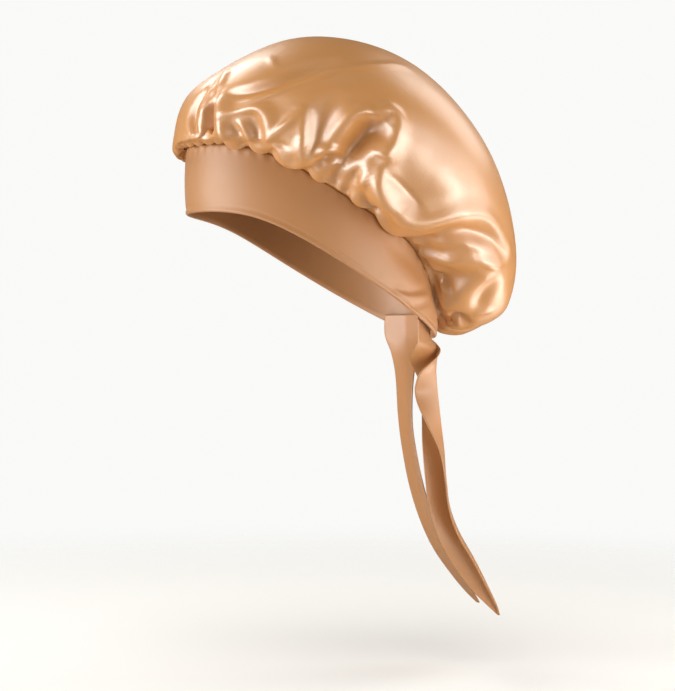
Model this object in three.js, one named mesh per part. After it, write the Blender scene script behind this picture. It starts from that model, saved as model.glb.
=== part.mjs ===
// A satin sleep bonnet: a soft gathered crown on a wide band, with two tie tails at the nape.
// Units are millimetres and +Z is up. The face looks along -Y and the wearer's left side is +X.
// The origin is the middle of the head opening, halfway between its brow edge and its nape edge.
// Angles round the head run from the brow (0) past the wearer's left ear (90) to the nape (180).

import * as THREE from "three";

// Head opening: the inside of the band is an upright oval of these half sizes.
const HEAD_HALF_WIDTH = 75;
const HEAD_HALF_DEPTH = 95;

// Steps round the head, the same for the band and the crown so that their seam lines match.
const COLUMNS = 112;

// Band: a doubled strip, level over the brow, then sloping to the nape, where it tapers.
const BAND_THICKNESS = 2;
const BAND_WIDTH = 50;
const BAND_NAPE_WIDTH = 15;
const BAND_BOW = 1.2;
const BAND_EDGE_ROUND = 0.03;
const BROW_EDGE_Z = 47;
const BAND_SLOPE = 0.61;
const SLOPE_START_Y = -60;
const SLOPE_SOFTNESS = 14;
const TAPER = { start: 124, end: 176 };
const BAND_SECTION_STEPS = 2;

// Crown: a thin satin wall, lofted through rings from the seam on the band to the top.
const CROWN_WALL = 1.2;
const SEAM_GAP = 0.35;
const SEAM_OUT = 1.5;
const SEAM_LIP = { along: 0.028, out: 6, rise: 1 };
const CROWN_ROWS = [
  { upTo: 0.5, steps: 14 },
  { upTo: 0.94, steps: 5 },
];
const CROWN_TOP = { y: 12, z: 182.5 };
const BAG = { start: 128, end: 166 };
const RIGHT_DROOP = { start: -12, end: 14, left: 0.3 };

// One row for each ring above the seam: how far up the cloth it lies (0 seam, 1 top), where it
// crosses the middle line in front and behind, its half width, its heights, and by how much it
// follows the seam at a rise above it. The rings leave the seam at the back, where the bag hangs,
// and partly on the right, where the crown droops over the band.
const CROWN_RINGS = [
  {
    along: 0.07, frontY: -104, backY: 107, halfWidth: 86,
    frontZ: 90, sideZ: 52, backZ: -40, follow: 0.9, rise: 3,
  },
  {
    along: 0.16, frontY: -107, backY: 126, halfWidth: 101,
    frontZ: 94, sideZ: 62, backZ: -42, follow: 0.5, rise: 9,
  },
  {
    along: 0.3, frontY: -106, backY: 152, halfWidth: 114,
    frontZ: 108, sideZ: 82, backZ: -27, follow: 0, rise: 0,
  },
  {
    along: 0.43, frontY: -102, backY: 159.5, halfWidth: 120,
    frontZ: 124, sideZ: 105, backZ: 8, follow: 0, rise: 0,
  },
  {
    along: 0.56, frontY: -93, backY: 151.5, halfWidth: 114,
    frontZ: 140, sideZ: 129, backZ: 56, follow: 0, rise: 0,
  },
  {
    along: 0.7, frontY: -73, backY: 130, halfWidth: 96,
    frontZ: 156, sideZ: 150, backZ: 103, follow: 0, rise: 0,
  },
  {
    along: 0.83, frontY: -46, backY: 96, halfWidth: 66,
    frontZ: 171, sideZ: 169, backZ: 143, follow: 0, rise: 0,
  },
  {
    along: 0.94, frontY: -18, backY: 48, halfWidth: 28,
    frontZ: 180.5, sideZ: 179, backZ: 172, follow: 0, rise: 0,
  },
];

// Scale of the cloth's own chart: how much cloth a degree round the crown and its whole rise hold.
const MM_PER_DEGREE = 1.95;
const CLOTH_RISE = 250;

// Even gathers along the seam, fading out up the crown.
const GATHERS = { count: 26, depth: 2.6, reach: 0.15, wander: 5, wanderTurns: 4 };
const SEAM_HOLD = 0.05;

// One row for each main fold of the left half: its height (a valley is negative), its half width,
// and the [angle, along] places that its line runs through.
const FOLDS = [
  { name: "brow pinch", height: -5, halfWidth: 6, line: [[12, 0.08], [14, 0.3], [14, 0.42]] },
  { name: "brow ridge", height: 3.5, halfWidth: 6, line: [[21, 0.12], [20, 0.32], [22, 0.48]] },
  { name: "brow valley", height: -9, halfWidth: 6.5, line: [[29, 0.09], [28, 0.26], [28, 0.37]] },
  { name: "brow swell", height: 5, halfWidth: 7, line: [[37, 0.1], [34, 0.3], [35, 0.52], [48, 0.64]] },
  { name: "temple dimple front", height: -5, halfWidth: 7, line: [[46, 0.12], [42, 0.24]] },
  { name: "temple dimple rear", height: -5.5, halfWidth: 7.5, line: [[53, 0.12], [51, 0.28]] },
  { name: "temple facet", height: 5, halfWidth: 7, line: [[68, 0.1], [66, 0.23], [63, 0.36]] },
  { name: "ear hollow", height: -6.5, halfWidth: 8, line: [[75, 0.12], [72, 0.27], [72, 0.38]] },
  { name: "ear swell", height: 4, halfWidth: 7, line: [[81, 0.22], [80, 0.33], [78, 0.45]] },
  { name: "deep valley", height: -15, halfWidth: 9, line: [[86, 0.09], [85, 0.21], [86, 0.32], [89, 0.39]] },
  { name: "hook", height: 6, halfWidth: 9, line: [[83, 0.45], [88, 0.49], [93, 0.48], [94, 0.4]] },
  { name: "ear tuck", height: 6, halfWidth: 6, line: [[92, 0.06], [90, 0.15], [90, 0.25]] },
  { name: "roll", height: 8, halfWidth: 9, line: [[94, 0.38], [96, 0.27], [104, 0.2], [114, 0.22]] },
  { name: "rolled ridge", height: 7, halfWidth: 10, line: [[114, 0.23], [126, 0.36], [136, 0.41]] },
  { name: "roll tail", height: 3, halfWidth: 10, line: [[136, 0.41], [150, 0.415]] },
  { name: "panel dent", height: -4, halfWidth: 10, line: [[101, 0.33], [108, 0.34]] },
  { name: "pocket", height: -12, halfWidth: 12, line: [[118, 0.12], [121, 0.2], [127, 0.29], [138, 0.34]] },
  { name: "pocket lip", height: 4, halfWidth: 9, line: [[128, 0.13], [133, 0.2], [146, 0.33]] },
  { name: "nape hollow", height: -8, halfWidth: 8, line: [[140, 0.1], [141, 0.2], [147, 0.28]] },
  { name: "nape swell", height: 5, halfWidth: 8, line: [[152, 0.08], [156, 0.18], [160, 0.3]] },
  { name: "nape valley", height: -6, halfWidth: 8, line: [[166, 0.06], [168, 0.16], [172, 0.26]] },
  { name: "top crease", height: 2.5, halfWidth: 7, line: [[48, 0.42], [61, 0.49], [82, 0.66], [108, 0.74]] },
  { name: "top sag", height: -3.5, halfWidth: 13, line: [[60, 0.55], [74, 0.66], [95, 0.78]] },
  { name: "side sag", height: -4, halfWidth: 11, line: [[74, 0.5], [90, 0.58], [108, 0.62]] },
];
// The right half has like folds, set a little round from the mirror of the left ones.
const RIGHT_HALF = { stretch: 0.965, shift: 4, height: 0.9 };

// Ties: flat tails of doubled cloth, sewn inside the band's ends and folded along their length.
const TIE_THICKNESS = 1.3;
const LEAF_STEPS = [1, 0.55, 0.16];

// One row for each section down a tail: the place of the fold line, then for its two leaves the
// compass turn (0 to the front, 90 to the wearer's left) and the width.
const LEFT_TIE = [
  { z: -28, x: 13.2, y: 91, nearTurn: 59, nearWidth: 40, farTurn: 239, farWidth: 1.6 },
  { z: -47.5, x: 13.2, y: 91, nearTurn: 59, nearWidth: 40, farTurn: 239, farWidth: 1.6 },
  { z: -52.5, x: 13.6, y: 94.5, nearTurn: 50, nearWidth: 37, farTurn: 150, farWidth: 2.4 },
  { z: -57, x: 14, y: 96.4, nearTurn: 34, nearWidth: 30, farTurn: 96, farWidth: 6 },
  { z: -64, x: 14, y: 96.8, nearTurn: 8, nearWidth: 24, farTurn: 62, farWidth: 13 },
  { z: -71, x: 14, y: 97, nearTurn: -13, nearWidth: 19, farTurn: 36, farWidth: 18 },
  { z: -78, x: 14, y: 97.4, nearTurn: -25, nearWidth: 16, farTurn: 20, farWidth: 20 },
  { z: -91, x: 14, y: 98.7, nearTurn: -32, nearWidth: 15, farTurn: 8, farWidth: 21 },
  { z: -112, x: 14, y: 100.8, nearTurn: -20, nearWidth: 16, farTurn: 34, farWidth: 20 },
  { z: -134, x: 14, y: 102.8, nearTurn: 0, nearWidth: 18, farTurn: 60, farWidth: 18 },
  { z: -157, x: 14, y: 103.8, nearTurn: 10, nearWidth: 18, farTurn: 72, farWidth: 18 },
  { z: -178, x: 14, y: 107, nearTurn: 12, nearWidth: 19, farTurn: 70, farWidth: 18 },
  { z: -197, x: 14, y: 115, nearTurn: 10, nearWidth: 21, farTurn: 63, farWidth: 18 },
  { z: -220, x: 14, y: 129, nearTurn: 6, nearWidth: 22, farTurn: 56, farWidth: 16 },
  { z: -243, x: 14, y: 140.5, nearTurn: 4, nearWidth: 16, farTurn: 54, farWidth: 11 },
  { z: -258, x: 14, y: 146.5, nearTurn: 4, nearWidth: 7, farTurn: 54, farWidth: 5 },
  { z: -264, x: 14, y: 147.5, nearTurn: 4, nearWidth: 1.6, farTurn: 54, farWidth: 1.6 },
];
const RIGHT_TIE = [
  { z: -28, x: -30.8, y: 83.9, nearTurn: 112, nearWidth: 19, farTurn: -51, farWidth: 20 },
  { z: -44, x: -30.4, y: 84, nearTurn: 112, nearWidth: 19, farTurn: -50, farWidth: 20 },
  { z: -58, x: -24, y: 83.5, nearTurn: 104, nearWidth: 19, farTurn: -66, farWidth: 20 },
  { z: -75, x: -15, y: 81, nearTurn: 88, nearWidth: 20, farTurn: -78, farWidth: 20 },
  { z: -110, x: -9, y: 80.5, nearTurn: 80, nearWidth: 20, farTurn: -82, farWidth: 20 },
  { z: -134, x: -7, y: 83, nearTurn: 80, nearWidth: 20, farTurn: -82, farWidth: 20 },
  { z: -165, x: -6, y: 89, nearTurn: 82, nearWidth: 20, farTurn: -82, farWidth: 20 },
  { z: -192, x: -5, y: 97.5, nearTurn: 84, nearWidth: 20, farTurn: -82, farWidth: 20 },
  { z: -215, x: -4, y: 108, nearTurn: 84, nearWidth: 19, farTurn: -82, farWidth: 19 },
  { z: -236, x: -4, y: 122, nearTurn: 84, nearWidth: 14, farTurn: -82, farWidth: 16 },
  { z: -250, x: -6, y: 133, nearTurn: 84, nearWidth: 5, farTurn: -82, farWidth: 12 },
  { z: -257, x: -8, y: 138, nearTurn: 84, nearWidth: 1.6, farTurn: -82, farWidth: 4 },
];

const SATIN = new THREE.MeshStandardMaterial({ color: 0xd09a66, roughness: 0.35, metalness: 0.1 });
const BAND_CLOTH = new THREE.MeshStandardMaterial({ color: 0xd2a074, roughness: 0.7, metalness: 0 });
const TIE_CLOTH = new THREE.MeshStandardMaterial({ color: 0xcd9a6d, roughness: 0.7, metalness: 0 });

const radians = THREE.MathUtils.degToRad;
const mix = THREE.MathUtils.lerp;
const smoothStep = THREE.MathUtils.smoothstep;

// Reads one column of a table, on a smooth curve through its rows, at a value of the key column.
function readColumn(rows, key, column, at) {
  const rising = rows[rows.length - 1][key] > rows[0][key] ? 1 : -1;
  let i = 0;
  while (i < rows.length - 2 && rising * (rows[i + 1][key] - at) < 0) i++;
  const before = rows[Math.max(i - 1, 0)];
  const from = rows[i];
  const to = rows[i + 1];
  const after = rows[Math.min(i + 2, rows.length - 1)];
  const span = to[key] - from[key];
  const t = (at - from[key]) / span;
  const slopeFrom = ((to[column] - before[column]) / (to[key] - before[key])) * span;
  const slopeTo = ((after[column] - from[column]) / (after[key] - from[key])) * span;
  const t2 = t * t;
  const t3 = t2 * t;
  return (
    from[column] * (2 * t3 - 3 * t2 + 1) +
    slopeFrom * (t3 - 2 * t2 + t) +
    to[column] * (3 * t2 - 2 * t3) +
    slopeTo * (t3 - t2)
  );
}

// Triangles between neighbouring rings of points, with the last ring joined to the first if closed.
// Each four-sided patch is split along its shorter diagonal, so that folds stay smooth.
function ringFaces(rings, closed) {
  const faces = [];
  const size = rings[0].length;
  const points = rings.flat();
  const strips = closed ? rings.length : rings.length - 1;
  for (let r = 0; r < strips; r++) {
    const next = ((r + 1) % rings.length) * size;
    for (let i = 0; i < size; i++) {
      const j = (i + 1) % size;
      const [a, b, c, d] = [r * size + i, next + i, next + j, r * size + j];
      const straight = points[a].distanceTo(points[c]) <= points[b].distanceTo(points[d]);
      faces.push(...(straight ? [a, b, c, a, c, d] : [a, b, d, b, c, d]));
    }
  }
  return faces;
}

// A geometry from points and triangles, turned so that its faces point out.
function skin(points, faces) {
  let volume = 0;
  for (let i = 0; i < faces.length; i += 3) {
    const [a, b, c] = [points[faces[i]], points[faces[i + 1]], points[faces[i + 2]]];
    volume += a.dot(b.clone().cross(c));
  }
  if (volume < 0) faces.reverse();
  const geometry = new THREE.BufferGeometry().setFromPoints(points);
  geometry.setIndex(faces);
  geometry.computeVertexNormals();
  return geometry;
}

// Lower edge of the band at a place along the head, from the brow (-Y) to the nape (+Y).
function bandLowerZ(y) {
  const past = (y - SLOPE_START_Y) / SLOPE_SOFTNESS;
  return BROW_EDGE_Z - BAND_SLOPE * SLOPE_SOFTNESS * Math.log1p(Math.exp(past));
}

function bandWidth(angle) {
  return mix(BAND_WIDTH, BAND_NAPE_WIDTH, smoothStep(Math.abs(angle), TAPER.start, TAPER.end));
}

// A place on the head's oval, moved out from it.
function onHead(angle, out) {
  const x = (HEAD_HALF_WIDTH + out) * Math.sin(radians(angle));
  const y = -(HEAD_HALF_DEPTH + out) * Math.cos(radians(angle));
  return { x, y };
}

function bandUpperZ(angle) {
  return bandLowerZ(onHead(angle, 0).y) + bandWidth(angle);
}

// Cross-section of the band: up the outside with a slight bow, then down the inside.
function bandSection(angle) {
  const low = bandLowerZ(onHead(angle, 0).y);
  const width = bandWidth(angle);
  const place = (out, up) => {
    const { x, y } = onHead(angle, out);
    return new THREE.Vector3(x, y, low + up * width);
  };
  const heights = [];
  for (let i = 0; i <= BAND_SECTION_STEPS; i++) {
    heights.push(mix(BAND_EDGE_ROUND, 1 - BAND_EDGE_ROUND, i / BAND_SECTION_STEPS));
  }
  const bow = (up) => BAND_BOW * Math.sin(Math.PI * up);
  return [
    place(BAND_THICKNESS / 2, 0),
    ...heights.map((up) => place(BAND_THICKNESS + bow(up), up)),
    place(BAND_THICKNESS / 2, 1),
    ...heights.toReversed().map((up) => place(bow(up), up)),
  ];
}

function makeBand() {
  const sections = [];
  for (let c = 0; c < COLUMNS; c++) sections.push(bandSection((360 * c) / COLUMNS - 180));
  const faces = ringFaces(sections, true);
  return new THREE.Mesh(skin(sections.flat(), faces), BAND_CLOTH);
}

// A point of the smooth crown, before its folds.
function crownForm(angle, along) {
  const turn = radians(angle);
  const frontShare = (1 + Math.cos(turn)) / 2;
  const sideShare = Math.sin(turn) ** 2;
  const seamZ = bandUpperZ(angle);
  const aheadOfBag = 1 - smoothStep(Math.abs(angle), BAG.start, BAG.end);
  const drooping = smoothStep(-angle, RIGHT_DROOP.start, RIGHT_DROOP.end);
  const seamward = aheadOfBag * mix(1, RIGHT_DROOP.left, drooping);
  const onRing = (ring) => {
    const swell = ring.sideZ - (ring.frontZ + ring.backZ) / 2;
    const ringZ = mix(ring.backZ, ring.frontZ, frontShare) + swell * sideShare;
    return {
      along: ring.along,
      x: ring.halfWidth * Math.sin(turn),
      y: mix(ring.backY, ring.frontY, frontShare),
      z: mix(ringZ, seamZ + ring.rise, ring.follow * seamward),
    };
  };
  const path = [
    { along: 0, ...onHead(angle, SEAM_OUT), z: seamZ + SEAM_GAP },
    { along: SEAM_LIP.along, ...onHead(angle, SEAM_LIP.out), z: seamZ + SEAM_LIP.rise },
    ...CROWN_RINGS.map(onRing),
    { along: 1, x: 0, ...CROWN_TOP },
  ];
  const read = (column) => readColumn(path, "along", column, along);
  return new THREE.Vector3(read("x"), read("y"), read("z"));
}

// How far a place on the cloth lies from a fold's line, in millimetres of cloth.
function offLine(line, angle, along) {
  const chart = (place) => new THREE.Vector2(place[0] * MM_PER_DEGREE, place[1] * CLOTH_RISE);
  const at = chart([angle, along]);
  let nearest = Infinity;
  for (let i = 0; i + 1 < line.length; i++) {
    const from = chart(line[i]);
    const step = chart(line[i + 1]).sub(from);
    const share = THREE.MathUtils.clamp(at.clone().sub(from).dot(step) / step.lengthSq(), 0, 1);
    nearest = Math.min(nearest, at.distanceTo(from.addScaledVector(step, share)));
  }
  return nearest;
}

// How far the folds and gathers lift the cloth off its smooth form.
function foldLift(angle, along) {
  const right = angle < 0;
  const side = Math.abs(angle);
  const twin = right ? (side - RIGHT_HALF.shift) / RIGHT_HALF.stretch : side;
  const strength = right ? RIGHT_HALF.height : 1;
  let lift = 0;
  for (const fold of FOLDS) {
    const off = offLine(fold.line, twin, along) / fold.halfWidth;
    lift += strength * fold.height * Math.exp(-off * off);
  }
  const wander = GATHERS.wander * Math.sin(GATHERS.wanderTurns * radians(angle));
  const gather = Math.cos(GATHERS.count * radians(angle + wander));
  lift += GATHERS.depth * gather * Math.exp(-along / GATHERS.reach);
  return lift * smoothStep(along, 0, SEAM_HOLD);
}

// Outward directions over a grid of rings, from each point's neighbours.
function outwards(rings, top) {
  return rings.map((ring, r) =>
    ring.map((_, c) => {
      const across = ring[(c + 1) % ring.length].clone().sub(ring[(c + ring.length - 1) % ring.length]);
      const below = rings[Math.max(r - 1, 0)][c];
      const above = r + 1 < rings.length ? rings[r + 1][c] : top;
      return across.cross(above.clone().sub(below)).normalize();
    }),
  );
}

function makeCrown() {
  const top = new THREE.Vector3(0, CROWN_TOP.y, CROWN_TOP.z);
  const heights = [0];
  for (const { upTo, steps } of CROWN_ROWS) {
    const from = heights[heights.length - 1];
    for (let i = 1; i <= steps; i++) heights.push(mix(from, upTo, i / steps));
  }
  const places = heights.map((along) =>
    Array.from({ length: COLUMNS }, (_, c) => ({ angle: (360 * c) / COLUMNS - 180, along })),
  );
  const smooth = places.map((ring) => ring.map((p) => crownForm(p.angle, p.along)));
  const smoothOut = outwards(smooth, top);
  const outer = smooth.map((ring, r) =>
    ring.map((p, c) => {
      const { angle, along } = places[r][c];
      return p.clone().addScaledVector(smoothOut[r][c], foldLift(angle, along));
    }),
  );
  const outerOut = outwards(outer, top);
  const inner = outer.map((ring, r) =>
    ring.map((p, c) => p.clone().addScaledVector(outerOut[r][c], -CROWN_WALL)),
  );
  const innerTop = top.clone().setZ(CROWN_TOP.z - CROWN_WALL);

  const rings = [...outer.toReversed(), ...inner];
  const faces = ringFaces(rings, false);
  const points = [...rings.flat(), top, innerTop];
  const lastRing = (rings.length - 1) * COLUMNS;
  for (let c = 0; c < COLUMNS; c++) {
    const d = (c + 1) % COLUMNS;
    faces.push(points.length - 2, c, d, points.length - 1, lastRing + d, lastRing + c);
  }
  return new THREE.Mesh(skin(points, faces), SATIN);
}

// Section of a tail: along one leaf to the fold line and out along the other, then back inside.
function tieSection(row) {
  const fold = new THREE.Vector3(row.x, row.y, row.z);
  const leaf = (turn, reach) =>
    fold.clone().add(new THREE.Vector3(Math.sin(radians(turn)) * reach, -Math.cos(radians(turn)) * reach, 0));
  const middle = [
    ...LEAF_STEPS.map((share) => leaf(row.nearTurn, share * row.nearWidth)),
    fold,
    ...LEAF_STEPS.toReversed().map((share) => leaf(row.farTurn, share * row.farWidth)),
  ];
  const up = new THREE.Vector3(0, 0, 1);
  const sideways = middle.map((p, i) => {
    const before = middle[Math.max(i - 1, 0)];
    const after = middle[Math.min(i + 1, middle.length - 1)];
    return after.clone().sub(before).cross(up).setLength(TIE_THICKNESS / 2);
  });
  const outside = middle.map((p, i) => p.clone().add(sideways[i]));
  const inside = middle.map((p, i) => p.clone().sub(sideways[i]));
  return [...outside, ...inside.toReversed()];
}

function makeTie(table) {
  const sections = table.map(tieSection);
  const size = sections[0].length;
  const faces = ringFaces(sections, false);
  const end = (sections.length - 1) * size;
  for (let c = 0; c + 1 < size / 2; c++) {
    const opposite = size - 1 - c;
    faces.push(c, c + 1, opposite - 1, c, opposite - 1, opposite);
    faces.push(end + c, end + opposite - 1, end + c + 1, end + c, end + opposite, end + opposite - 1);
  }
  return new THREE.Mesh(skin(sections.flat(), faces), TIE_CLOTH);
}

const bonnet = new THREE.Group();
const pieces = {
  crown: makeCrown(),
  band: makeBand(),
  tie_left: makeTie(LEFT_TIE),
  tie_right: makeTie(RIGHT_TIE),
};
for (const [name, mesh] of Object.entries(pieces)) {
  mesh.name = name;
  bonnet.add(mesh);
}

export default bonnet;
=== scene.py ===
import math
from collections import namedtuple

import bpy
import numpy as np
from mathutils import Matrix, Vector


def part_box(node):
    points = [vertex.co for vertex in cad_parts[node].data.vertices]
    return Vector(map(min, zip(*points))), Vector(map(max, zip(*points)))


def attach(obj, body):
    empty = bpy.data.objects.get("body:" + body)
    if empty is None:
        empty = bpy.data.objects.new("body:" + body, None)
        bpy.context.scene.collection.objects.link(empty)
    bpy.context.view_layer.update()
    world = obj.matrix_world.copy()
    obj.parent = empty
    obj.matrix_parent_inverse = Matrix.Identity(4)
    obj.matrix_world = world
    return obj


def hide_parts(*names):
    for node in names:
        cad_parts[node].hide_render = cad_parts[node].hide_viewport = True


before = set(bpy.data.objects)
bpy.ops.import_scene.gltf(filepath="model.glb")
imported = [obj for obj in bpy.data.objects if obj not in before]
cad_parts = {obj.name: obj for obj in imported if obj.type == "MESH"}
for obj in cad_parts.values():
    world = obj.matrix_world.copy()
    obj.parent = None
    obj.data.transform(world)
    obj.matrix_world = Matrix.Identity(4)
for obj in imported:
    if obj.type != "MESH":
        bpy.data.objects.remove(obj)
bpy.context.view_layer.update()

bl_info = {
    "name": "Satin sleep bonnet",
    "version": (1, 0, 0),
    "blender": (4, 5, 0),
    "location": "View3D > Sidebar > Bonnet",
    "description": "Sews a gathered satin bonnet with its band and ties, and sets its studio",
    "category": "Add Mesh",
}

# The tables are in millimetres and degrees, as the bonnet was measured, and MM turns them to metres.
# Angles run round the head from the brow (0) past the wearer's left ear (90) to the nape (180).
MM = 0.001
MERGE_GAP = 0.02
TINY = 1e-9

# Head opening and band, as in the solids.
HEAD_HALF_WIDTH = 75
HEAD_HALF_DEPTH = 95
BAND_THICKNESS = 2
BAND_WIDTH = 50
BAND_NAPE_WIDTH = 15
BAND_BOW = 1.2
BROW_EDGE_Z = 47
BAND_SLOPE = 0.61
SLOPE_START_Y = -60
SLOPE_SOFTNESS = 14
TAPER_START = 124
TAPER_END = 176

# Fine form of the band's sheet: steps round its section, the bulge of its edges, the hem's groove and roll,
# and the puckers under the seam.
BAND_OUTSIDE_STEPS = 30
BAND_EDGE_STEPS = 6
BAND_INSIDE_STEPS = 14
BAND_EDGE_BULGE = 0.9
HEM_GROOVE_DEPTH = 0.5
HEM_GROOVE_WIDTH = 0.55
HEM_ROLL_HEIGHT = 0.35
HEM_ROLL_START = 0.2
HEM_ROLL_FULL = 1.5
PUCKER_HEIGHT = 0.5
PUCKERS_PER_RADIAN = 58
PUCKER_REACH = 9

# How glossy the plain cloths are.
BAND_GLOSS = 0.6
TIE_GLOSS = 1.0

# Rings of the smooth crown, from the seam (along 0) to the top (along 1).
Ring = namedtuple("Ring", "along front_y back_y half_width front_z side_z back_z follow rise")
CROWN_RINGS = (
    Ring(0.07, -104, 107, 86, 90, 52, -40, 0.9, 3),
    Ring(0.16, -107, 126, 101, 94, 62, -42, 0.5, 9),
    Ring(0.30, -106, 152, 114, 108, 82, -27, 0, 0),
    Ring(0.43, -102, 159.5, 120, 124, 105, 8, 0, 0),
    Ring(0.56, -93, 151.5, 114, 140, 129, 56, 0, 0),
    Ring(0.70, -73, 130, 96, 156, 150, 103, 0, 0),
    Ring(0.83, -46, 96, 66, 171, 169, 143, 0, 0),
    Ring(0.94, -18, 48, 28, 180.5, 179, 172, 0, 0),
)

# The crown's top and how it is rounded, the seam and the lip of cloth over it, and the angles between which
# the bag and the droop of the right side set in.
CROWN_TOP = (0, 12, 182.5)
TOP_ROUNDING = 1.6
TOP_ROUND_REACH = 14
SEAM_OUT = 1.5
SEAM_GAP = 0.35
LIP_ALONG = 0.028
LIP_OUT = 6
LIP_RISE = 1
BAG_START = 128
BAG_END = 166
DROOP_START = -12
DROOP_END = 14
DROOP_FOLLOW = 0.3

# Charts of the crown and the band: millimetres to a degree round, and from the lower edge to the upper one.
# Below SEAM_HOLD, as along, the seam holds the folds down.
CROWN_CHART = (1.95, 250)
BAND_CHART = (1.5, 45)
SEAM_HOLD = 0.05

# The photo's view, which the stage's camera repeats: turn round the head, place, lens and size in pixels.
VIEW_TURN = 76
VIEW_DISTANCE = 1300
VIEW_SIDE = 19.6
VIEW_HEIGHT = -53
VIEW_LENS = 87.94
VIEW_SENSOR = 36
VIEW_PIXELS = (675, 691)

# Enlargements of the photo on which the fold lines were picked: the photo's pixel at their upper left
# corner, and their scale.
Enlargement = namedtuple("Enlargement", "left top zoom_x zoom_y")
FRONT = Enlargement(165, 30, 8.711, 8.711)
EAR = Enlargement(320, 90, 6.27, 6.272)

# Steps of the chart on which the picks are looked up. Then, in pixels, how far round a pick the cloth is
# searched and how near the best place counts as a hit, and, in millimetres, how far behind the plane of the
# cloth the camera may be.
CHART_COLUMNS = 1440
CHART_ROWS = 400
PICK_REACH = 40
PICK_SLACK = 0.8
SEEN_LIMIT = -120

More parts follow.
